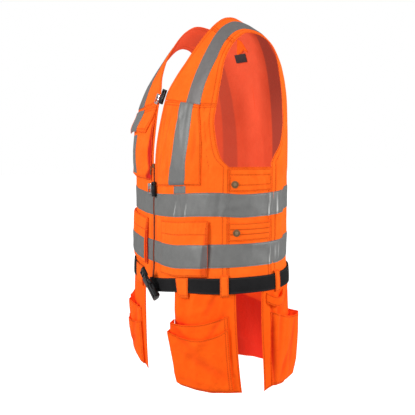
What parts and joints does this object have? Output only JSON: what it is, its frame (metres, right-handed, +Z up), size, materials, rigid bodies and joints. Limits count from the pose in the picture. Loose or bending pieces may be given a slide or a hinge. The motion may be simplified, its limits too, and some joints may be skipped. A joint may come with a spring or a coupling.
{
  "type": "tool vest",
  "caption": "High-visibility sleeveless work vest with reflective bands, chest and hip pockets, and a belt that carries hanging tool holsters.",
  "frame": {"origin": "middle of the shoulder line, where the vest rests on the wearer's shoulders", "axes": "+Z up, -Y out of the front with the zip, +X toward the wearer's left"},
  "size_m": [0.5105, 0.3503, 0.8576],
  "materials": {
    "vest_cloth": "woven polyester, matt",
    "holster_cloth": "coated woven cloth, matt",
    "reflective_tape": "reflective tape, satin",
    "black_webbing": "woven webbing",
    "black_plastic": "moulded, satin",
    "bright_metal": "polished",
    "dull_metal": "plated, satin",
    "zip_teeth": "moulded teeth"
  },
  "bodies": {
    "root": {"front_left": "vest_cloth", "yoke_left": "vest_cloth", "side_left": "vest_cloth", "front_right": "vest_cloth", "yoke_right": "vest_cloth", "side_right": "vest_cloth", "back_panel": "vest_cloth", "band_upper_left": "reflective_tape", "band_upper_right": "reflective_tape", "band_upper_back": "reflective_tape", "band_lower_left": "reflective_tape", "band_lower_right": "reflective_tape", "band_lower_back": "reflective_tape", "tape_shoulder_left": "reflective_tape", "tape_shoulder_right": "reflective_tape", "chest_pocket_left": "vest_cloth", "tape_pocket_left": "reflective_tape", "tape_stub_left": "reflective_tape", "chest_pocket_right": "vest_cloth", "tape_pocket_right": "reflective_tape", "chest_flap_right": "vest_cloth", "tape_flap_right": "reflective_tape", "lower_pocket_left": "vest_cloth", "band_pocket_left": "reflective_tape", "lower_pocket_right": "vest_cloth", "band_pocket_right": "reflective_tape", "tab_upper_left": "vest_cloth", "snap_upper_left": "dull_metal", "tab_lower_left": "vest_cloth", "snap_lower_left": "dull_metal", "tab_upper_right": "vest_cloth", "snap_upper_right": "dull_metal", "tab_lower_right": "vest_cloth", "snap_lower_right": "dull_metal", "zip_chain": "zip_teeth", "zip_pull": "dull_metal", "clip_hook_upper": "black_plastic", "clip_catch_upper": "bright_metal", "clip_hook_lower": "black_plastic", "clip_catch_lower": "bright_metal", "belt": "black_webbing", "belt_loop_wide_left": "vest_cloth", "belt_loop_wide_right": "vest_cloth", "belt_loop_front_left": "vest_cloth", "belt_loop_front_right": "vest_cloth", "belt_loop_back_left": "vest_cloth", "belt_loop_back_right": "vest_cloth", "belt_buckle": "black_plastic", "holster_front_left": "holster_cloth", "pouch_front_left": "holster_cloth", "pouch_outer_front_left": "holster_cloth", "holster_back_left": "holster_cloth", "pouch_back_left": "holster_cloth", "holster_front_right": "holster_cloth", "pouch_front_right": "holster_cloth", "pouch_outer_front_right": "holster_cloth", "holster_back_right": "holster_cloth", "pouch_back_right": "holster_cloth", "hammer_loop": "holster_cloth", "inner_tab": "black_webbing"}
  },
  "joints": []
}
